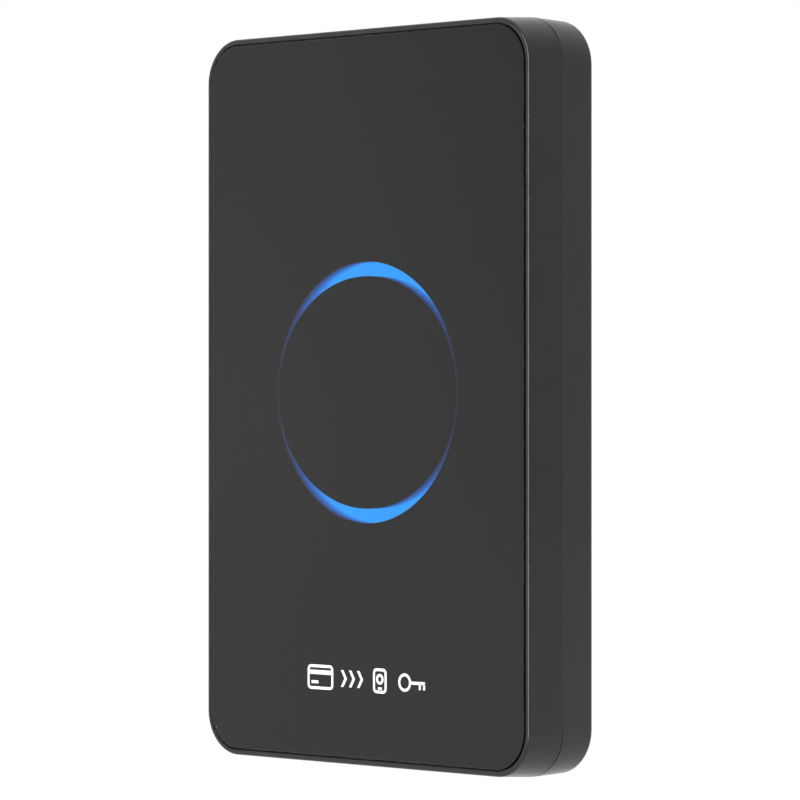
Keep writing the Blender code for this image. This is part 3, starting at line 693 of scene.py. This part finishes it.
def generated(material):
    """Coordinates from 0 to 1 across the piece's own box."""
    return node(material, "ShaderNodeTexCoord").outputs["Generated"]


def axes(material, vector):
    return node(material, "ShaderNodeSeparateXYZ", {0: vector}).outputs


def noise(material, size, detail=2.0, stretch=(1.0, 1.0, 1.0)):
    """Noise with features about size across, in metres, drawn out along an axis whose stretch is small."""
    scale = [s / size for s in stretch]
    spread = node(material, "ShaderNodeMapping", {"Vector": position(material), "Scale": scale})
    values = {"Vector": spread.outputs[0], "Scale": 1.0, "Detail": detail}
    return node(material, "ShaderNodeTexNoise", values).outputs[0]


def ranged(material, value, low, high, to_low=0.0, to_high=1.0):
    values = {0: value, 1: low, 2: high, 3: to_low, 4: to_high}
    return node(material, "ShaderNodeMapRange", values, clamp=True).outputs[0]


def mixed(material, factor, first, second):
    """A blend of two colours, each a tuple or a socket."""
    values = {0: factor}
    for key, colour in ((6, first), (7, second)):
        values[key] = (*colour, 1.0) if isinstance(colour, tuple) else colour
    return node(material, "ShaderNodeMix", values, data_type="RGBA").outputs[2]


def bump(material, height, distance):
    made = node(material, "ShaderNodeBump", {"Height": height, "Distance": distance})
    link(material, made.outputs[0], "Normal")


def specks(material, size, share):
    """A few round specks: cells of the given size, of which a share hold one."""
    spread = node(material, "ShaderNodeMapping", {"Vector": position(material), "Scale": [1 / size] * 3})
    cells = node(material, "ShaderNodeTexVoronoi", {"Vector": spread.outputs[0], "Scale": 1.0})
    chosen = maths(material, "LESS_THAN", axes(material, cells.outputs["Color"])[0], share)
    near = ranged(material, cells.outputs["Distance"], 0.045, 0.03)
    return maths(material, "MULTIPLY", chosen, near)


def shell_plastic():
    """Black moulded plastic: fine spark-eroded grain, handled edges a little paler, a few specks of dust."""
    material = new_material("shell_black", (0.008, 0.008, 0.0075), 0.32)
    material.node_tree.nodes["Principled BSDF"].inputs["IOR"].default_value = 1.47
    depth = maths(material, "SUBTRACT", axes(material, position(material))[1], RIM_Y)
    edges = None
    for line, reach in ((0.12 * MM, 0.35 * MM), (SEAM, 0.16 * MM), (CASE_DEPTH - 0.2 * MM, 0.6 * MM)):
        away = maths(material, "ABSOLUTE", maths(material, "SUBTRACT", depth, line))
        near = ranged(material, away, reach, 0.0)
        edges = near if edges is None else maths(material, "MAXIMUM", edges, near)
    scuffs = ranged(material, noise(material, 1.6 * MM, 6.0), 0.45, 0.75)
    worn = maths(material, "MULTIPLY", edges, scuffs)
    tone = ranged(material, noise(material, 9 * MM, 3.0), 0.3, 0.7)
    body = mixed(material, tone, (0.0070, 0.0070, 0.0066), (0.0092, 0.0090, 0.0085))
    handled = mixed(material, worn, body, (0.020, 0.0195, 0.019))
    dust = specks(material, 2.2 * MM, 0.30)
    link(material, mixed(material, dust, handled, (0.35, 0.34, 0.32)), "Base Color")
    grain = noise(material, 0.16 * MM, 3.0)
    rough = ranged(material, noise(material, 4 * MM, 4.0), 0.3, 0.7, 0.23, 0.28)
    link(material, maths(material, "SUBTRACT", rough, maths(material, "MULTIPLY", worn, 0.06)), "Roughness")
    bump(material, grain, 0.006 * MM)
    return material


def clear_acrylic(name):
    """Polished clear sheet with the faintest wiping haze."""
    material = new_material(name, (1.0, 1.0, 1.0), 0.03)
    shader = material.node_tree.nodes["Principled BSDF"]
    shader.inputs["Transmission Weight"].default_value = 1.0
    shader.inputs["IOR"].default_value = 1.45
    haze = ranged(material, noise(material, 11 * MM, 4.0, (1.0, 1.0, 0.4)), 0.35, 0.75, 0.015, 0.035)
    link(material, haze, "Roughness")
    return material


def print_black():
    material = new_material("film_black", (0.0006, 0.0006, 0.0006), 0.7)
    material.node_tree.nodes["Principled BSDF"].inputs["Specular IOR Level"].default_value = 0.0
    mottle = ranged(material, noise(material, 0.5 * MM, 3.0), 0.3, 0.7)
    link(material, mixed(material, mottle, (0.0004, 0.0004, 0.0004), (0.0009, 0.0009, 0.0009)), "Base Color")
    link(material, ranged(material, mottle, 0.0, 1.0, 0.66, 0.74), "Roughness")
    bump(material, mottle, 0.002 * MM)
    return material


def print_white():
    material = new_material("ink_white", (0.70, 0.71, 0.72), 0.6)
    material.node_tree.nodes["Principled BSDF"].inputs["Specular IOR Level"].default_value = 0.0
    mottle = ranged(material, noise(material, 0.12 * MM, 3.0), 0.3, 0.7)
    link(material, mixed(material, mottle, (0.78, 0.79, 0.81), (0.86, 0.87, 0.88)), "Base Color")
    link(material, ranged(material, mottle, 0.0, 1.0, 0.55, 0.65), "Roughness")
    bump(material, mottle, 0.002 * MM)
    return material


def glowing_guide():
    """Milky plastic lit from behind. It is brightest at the ring's top and bottom, and fades round to its
    sides and up the trough's walls towards the panel."""
    material = new_material("guide_blue", (0.001, 0.003, 0.010), 0.5)
    material.node_tree.nodes["Principled BSDF"].inputs["Specular IOR Level"].default_value = 0.0
    x, y, z = axes(material, position(material))
    across = maths(material, "ABSOLUTE", x)
    along = maths(material, "ABSOLUTE", maths(material, "SUBTRACT", z, CENTRE_Z + RING_RAISED))
    angle = maths(material, "ARCTAN2", across, along)
    round_the_ring = node(material, "ShaderNodeValToRGB", {0: maths(material, "DIVIDE", angle, math.pi / 2)})
    ramp = round_the_ring.color_ramp
    ramp.interpolation = "EASE"
    for number, (place, level) in enumerate(GLOW_FADE):
        stop = ramp.elements[0] if number == 0 else ramp.elements.new(place)
        stop.color = (level, level, level, 1.0)
    ramp.elements[-1].color = stop.color
    depth = maths(material, "SUBTRACT", y, RIM_Y)
    deep = ranged(material, depth, SKIRT_FRONT, TROUGH_FLOOR, GLOW_AT_SKIRT, 1.0)
    level = maths(material, "MULTIPLY", axes(material, round_the_ring.outputs[0])[0], deep)
    cloud = ranged(material, noise(material, 0.8 * MM, 2.0), 0.3, 0.7, 0.96, 1.04)
    level = maths(material, "MULTIPLY", level, cloud)
    link(material, mixed(material, level, (0.0, 0.14, 1.0), (0.0, 0.33, 1.0)), "Emission Color")
    link(material, level, "Emission Strength")
    link(material, mixed(material, cloud, (0.0008, 0.002, 0.007), (0.0012, 0.004, 0.012)), "Base Color")
    link(material, ranged(material, cloud, 0.96, 1.04, 0.45, 0.55), "Roughness")
    bump(material, noise(material, 0.08 * MM), 0.004 * MM)
    return material


def moulded(name, dark, light, roughness, grain=0.2 * MM, height=0.008 * MM):
    """Plain moulded or cast surface: two close tones, uneven sheen and a fine grain."""
    material = new_material(name, light, roughness)
    tone = ranged(material, noise(material, 12 * grain, 4.0), 0.3, 0.7)
    link(material, mixed(material, tone, dark, light), "Base Color")
    link(material, ranged(material, tone, 0.0, 1.0, roughness - 0.06, roughness + 0.06), "Roughness")
    bump(material, noise(material, grain, 3.0), height)
    return material


def metal(name, dark, light, roughness, stretch=(1.0, 1.0, 0.08)):
    """Bright metal with fine lines along one axis."""
    material = new_material(name, light, roughness, 1.0)
    lines = noise(material, 0.12 * MM, 3.0, stretch)
    link(material, mixed(material, ranged(material, lines, 0.3, 0.7), dark, light), "Base Color")
    link(material, ranged(material, lines, 0.3, 0.7, roughness - 0.07, roughness + 0.07), "Roughness")
    bump(material, lines, 0.003 * MM)
    return material


def tinned(name, colour, share_x, share_z, roughness=0.5):
    """An electronic part: a body of one colour, and tinned metal wherever it lies outside the given share of
    its box across or along."""
    material = new_material(name, colour, roughness)
    x, _, z = axes(material, generated(material))
    off_x = maths(material, "ABSOLUTE", maths(material, "SUBTRACT", x, 0.5))
    off_z = maths(material, "ABSOLUTE", maths(material, "SUBTRACT", z, 0.5))
    outside = maths(material, "GREATER_THAN", off_x, share_x / 2)
    outside = maths(material, "MAXIMUM", outside, maths(material, "GREATER_THAN", off_z, share_z / 2))
    grain = noise(material, 0.15 * MM, 3.0)
    paler = tuple(min(1.0, c * 1.35 + 0.01) for c in colour)
    body = mixed(material, ranged(material, grain, 0.35, 0.65), colour, paler)
    link(material, mixed(material, outside, body, (0.60, 0.59, 0.56)), "Base Color")
    link(material, outside, "Metallic")
    matt = ranged(material, grain, 0.3, 0.7, roughness - 0.05, roughness + 0.05)
    link(material, maths(material, "SUBTRACT", matt, maths(material, "MULTIPLY", outside, 0.2)), "Roughness")
    bump(material, grain, 0.004 * MM)
    return material


def led_resin():
    material = tinned("led_blue", (0.50, 0.56, 0.60), 0.74, 2.0, 0.3)
    x = axes(material, generated(material))[0]
    off = maths(material, "ABSOLUTE", maths(material, "SUBTRACT", x, 0.5))
    lit = ranged(material, off, 0.30, 0.18, 0.0, 3.0)
    shader = material.node_tree.nodes["Principled BSDF"]
    shader.inputs["Emission Color"].default_value = (0.05, 0.30, 1.0, 1.0)
    link(material, lit, "Emission Strength")
    return material


def circuit_board():
    """Green solder mask over copper tracks, with plated holes. Each cell's tracks run round its hole."""
    cells_per_metre = 220.0
    tracks_per_cell = 9.0
    material = new_material("board_green", (0.010, 0.11, 0.035), 0.35)
    scale = [cells_per_metre, 0.0, cells_per_metre]
    spread = node(material, "ShaderNodeMapping", {"Vector": position(material), "Scale": scale})
    cells = node(
        material, "ShaderNodeTexVoronoi", {"Vector": spread.outputs[0], "Scale": 1.0, "Randomness": 0.85},
        distance="CHEBYCHEV",
    )
    rings = maths(material, "FRACT", maths(material, "MULTIPLY", cells.outputs["Distance"], tracks_per_cell))
    tracks = ranged(material, rings, 0.42, 0.50)
    holes = ranged(material, cells.outputs["Distance"], 0.085, 0.075)
    mask = mixed(material, tracks, (0.006, 0.085, 0.028), (0.016, 0.150, 0.050))
    link(material, mixed(material, holes, mask, (0.62, 0.50, 0.22)), "Base Color")
    link(material, holes, "Metallic")
    link(material, ranged(material, noise(material, 1 * MM), 0.3, 0.7, 0.28, 0.42), "Roughness")
    bump(material, tracks, 0.02 * MM)
    return material


def wound_copper():
    """Enamelled wire: turns that follow the coil's rounded rectangle. The base colour holds painted shade in
    the grooves between turns and a painted highlight on their crowns.
    """
    material = new_material("wire_copper", (0.60, 0.22, 0.08), 0.3, 1.0)
    low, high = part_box("aerial_coil")
    corner = 10.0 * MM
    pitch = 0.21 * MM
    x, _, z = axes(material, position(material))
    past_x = maths(material, "SUBTRACT", maths(material, "ABSOLUTE", x), high.x - corner)
    from_middle = maths(material, "ABSOLUTE", maths(material, "SUBTRACT", z, CENTRE_Z))
    past_z = maths(material, "SUBTRACT", from_middle, (high.z - low.z) / 2 - corner)
    in_x = maths(material, "POWER", maths(material, "MAXIMUM", past_x, 0.0), 2.0)
    in_z = maths(material, "POWER", maths(material, "MAXIMUM", past_z, 0.0), 2.0)
    outside = maths(material, "SQRT", maths(material, "ADD", in_x, in_z))
    inside = maths(material, "MINIMUM", maths(material, "MAXIMUM", past_x, past_z), 0.0)
    across = maths(material, "ADD", outside, inside)
    turns = maths(material, "SINE", maths(material, "MULTIPLY", across, 2 * math.pi / pitch))
    # The turns' profile gives the bump, and the base colour's painted shade between turns and painted
    # highlight on crowns
    relief_and_painted_shade = ranged(material, turns, -1.0, 1.0)
    link(material, mixed(material, relief_and_painted_shade, (0.24, 0.07, 0.025), (0.68, 0.27, 0.11)), "Base Color")
    link(material, ranged(material, relief_and_painted_shade, 0.0, 1.0, 0.42, 0.24), "Roughness")
    bump(material, relief_and_painted_shade, 0.06 * MM)
    return material


def inner_materials():
    """Each inner CAD node's material and record slot."""
    steel = metal("steel_bright", (0.44, 0.44, 0.43), (0.62, 0.62, 0.61), 0.30)
    copper = wound_copper()
    ferrite = tinned("ferrite_grey", (0.05, 0.05, 0.052), 0.62, 2.0, 0.6)
    ceramic = tinned("ceramic_tan", (0.38, 0.27, 0.16), 0.56, 2.0)
    tape = moulded("tape_grey", (0.24, 0.24, 0.24), (0.33, 0.33, 0.33), 0.85, 0.1 * MM, 0.02 * MM)
    reflector = moulded("reflector_white", (0.70, 0.70, 0.68), (0.78, 0.78, 0.76), 0.5)
    buzzer = moulded("buzzer_black", (0.014, 0.014, 0.014), (0.024, 0.024, 0.024), 0.42)
    found = {
        "panel_tape": (tape, "tape_grey"),
        "light_reflector": (reflector, "reflector_white"),
        "main_board": (circuit_board(), "board_green"),
        "aerial_coil": (copper, "wire_copper"),
        "controller_chip": (tinned("chip_square", (0.025, 0.025, 0.026), 0.79, 0.79), "chip_black"),
        "reader_chip": (tinned("chip_long", (0.025, 0.025, 0.026), 2.0, 0.66), "chip_black"),
        "voltage_regulator": (tinned("chip_regulator", (0.028, 0.028, 0.028), 2.0, 1.33), "chip_black"),
        "led_driver": (tinned("chip_driver", (0.028, 0.028, 0.028), 2.0, 0.56), "chip_black"),
        "surge_protector": (tinned("chip_surge", (0.028, 0.028, 0.028), 2.0, 0.58), "chip_black"),
        "bulk_capacitor": (tinned("tantalum_yellow", (0.62, 0.36, 0.05), 0.82, 2.0), "tantalum_yellow"),
        "choke_inductor": (ferrite, "ferrite_grey"),
        "buzzer": (buzzer, "buzzer_black"),
        "controller_crystal": (steel, "screw_steel"),
        "reader_crystal": (steel, "screw_steel"),
    }
    led = led_resin()
    for number in range(1, 7):
        found[f"ring_led_{number}"] = (led, "led_blue")
        found[f"led_resistor_{number}"] = (ferrite, "ferrite_grey")
    for number in range(1, 5):
        found[f"case_screw_{number}"] = (steel, "screw_steel")
        found[f"filter_capacitor_{number}"] = (ceramic, "ceramic_tan")
    for number in (1, 2):
        found[f"board_screw_{number}"] = (steel, "screw_steel")
        found[f"tuning_capacitor_{number}"] = (ceramic, "ceramic_tan")
        found[f"coil_lead_{number}"] = (copper, "wire_copper")
    return found


# Studio

FLOOR_HALF_X = 0.25
FLOOR_FRONT = 0.03
FLOOR_BACK = 0.35


def softbox(name, azimuth, distance, width, height, radiance):
    """A large soft light facing the reader. Azimuth 0 is in front of the card face, 90 to its right."""
    light = bpy.data.lights.new(name, "AREA")
    light.shape = "RECTANGLE"
    light.size = width
    light.size_y = height
    light.energy = radiance * math.pi * width * height
    lamp = bpy.data.objects.new(name, light)
    turn = math.radians(azimuth)
    lamp.location = (distance * math.sin(turn), -distance * math.cos(turn), CENTRE_Z)
    lamp.rotation_euler = (math.radians(90.0), 0.0, turn)
    lamp.visible_camera = False
    bpy.context.scene.collection.objects.link(lamp)


def white_room():
    """White all round. What the card face mirrors, to the front left, shades off towards the front and
    upwards, and the reader's right is dimmer. The backdrop itself is plain white from every side."""
    world = bpy.data.worlds.new("white_room")
    bpy.context.scene.world = world
    world.use_nodes = True
    x, y, z = axes(world, node(world, "ShaderNodeTexCoord").outputs["Generated"])
    azimuth = maths(world, "ARCTAN2", x, maths(world, "MULTIPLY", y, -1.0))

    def between(start, end, low, high):
        """A value that changes smoothly from low to high between two azimuths, in degrees."""
        return node(
            world, "ShaderNodeMapRange",
            {0: azimuth, 1: math.radians(start), 2: math.radians(end), 3: low, 4: high},
            interpolation_type="SMOOTHSTEP",
        ).outputs[0]

    across = between(-48.2, -42.0, 0.035, -0.16)
    upward = ranged(world, z, 0.0, 0.08, 0.0, -0.10)
    above = ranged(world, z, -0.05, -0.01)
    front = maths(world, "MULTIPLY", maths(world, "ADD", across, upward), above)
    front = maths(world, "MULTIPLY", front, between(-70.0, -60.0, 0.0, 1.0))
    front = maths(world, "MULTIPLY", front, between(60.0, 70.0, 1.0, 0.0))
    right = maths(world, "MULTIPLY", between(46.0, 62.0, 0.0, -0.42), between(108.0, 184.0, 1.0, 0.0))
    seen = node(world, "ShaderNodeLightPath").outputs["Is Camera Ray"]
    shading = maths(world, "MULTIPLY", maths(world, "ADD", front, right), maths(world, "SUBTRACT", 1.0, seen))
    level = maths(world, "ADD", 1.0, shading)
    background = world.node_tree.nodes["Background"]
    background.inputs["Color"].default_value = (1.0, 1.0, 1.0, 1.0)
    world.node_tree.links.new(level, background.inputs["Strength"])


def studio():
    floor_mesh = bmesh.new()
    left, right, front, back = -FLOOR_HALF_X, FLOOR_HALF_X, RIM_Y - FLOOR_FRONT, FLOOR_BACK
    corners = [(left, front), (right, front), (right, back), (left, back)]
    floor_mesh.faces.new([floor_mesh.verts.new((x, y, 0.0)) for x, y in corners])
    floor = new_piece("floor", floor_mesh)
    material = new_material("floor_white", (0.0, 0.0, 0.0), 1.0)
    shader = material.node_tree.nodes["Principled BSDF"]
    shader.inputs["Specular IOR Level"].default_value = 0.0
    shader.inputs["Emission Color"].default_value = (1.0, 1.0, 1.0, 1.0)
    shader.inputs["Emission Strength"].default_value = 1.0
    floor.data.materials.append(material)
    white_room()
    softbox("key", azimuth=22.0, distance=1.1, width=0.60, height=2.4, radiance=6.4)
    bpy.context.scene.view_settings.view_transform = "Standard"


def camera():
    data = bpy.data.cameras.new("camera")
    data.lens = LENS_MM
    data.sensor_width = 36.0
    data.clip_start = 0.01
    view = bpy.data.objects.new("camera", data)
    reach_x = VIEW_DISTANCE * math.sin(VIEW_YAW)
    reach_y = VIEW_DISTANCE * math.cos(VIEW_YAW)
    view.location = (reach_x, RIM_Y - reach_y, CENTRE_Z - VIEW_DROP)
    view.rotation_euler = (math.radians(90.0), 0.0, VIEW_YAW - VIEW_TURN)
    bpy.context.scene.collection.objects.link(view)
    bpy.context.scene.camera = view


def main():
    camera()
    studio()
    plastic = shell_plastic()
    front_shell(plastic)
    rear_cover(plastic)
    bonded = clear_acrylic("panel_bonded")
    bonded.node_tree.nodes["Principled BSDF"].inputs["Specular Tint"].default_value = (0.0, 0.0, 0.0, 1.0)
    acrylic_panel(clear_acrylic("panel_clear"), bonded)
    printed_mask(print_black())
    pictograms(print_white())
    light_guide(glowing_guide())
    feet(moulded("foot_rubber", (0.016, 0.016, 0.016), (0.030, 0.030, 0.029), 0.82, 0.12 * MM, 0.02 * MM))
    silver = moulded("label_silver", (0.535, 0.535, 0.54), (0.555, 0.555, 0.56), 0.42, 0.3 * MM, 0.003 * MM)
    blank_label(silver)
    steel = metal("socket_steel", (0.42, 0.42, 0.41), (0.60, 0.60, 0.59), 0.32, (0.08, 1.0, 1.0))
    tongue = moulded("socket_black", (0.016, 0.016, 0.016), (0.026, 0.026, 0.026), 0.5, 0.1 * MM, 0.003 * MM)
    usb_socket(steel, tongue, metal("contact_gold", (0.72, 0.48, 0.16), (0.86, 0.62, 0.26), 0.25))
    smoothed_copies(inner_materials())


main()
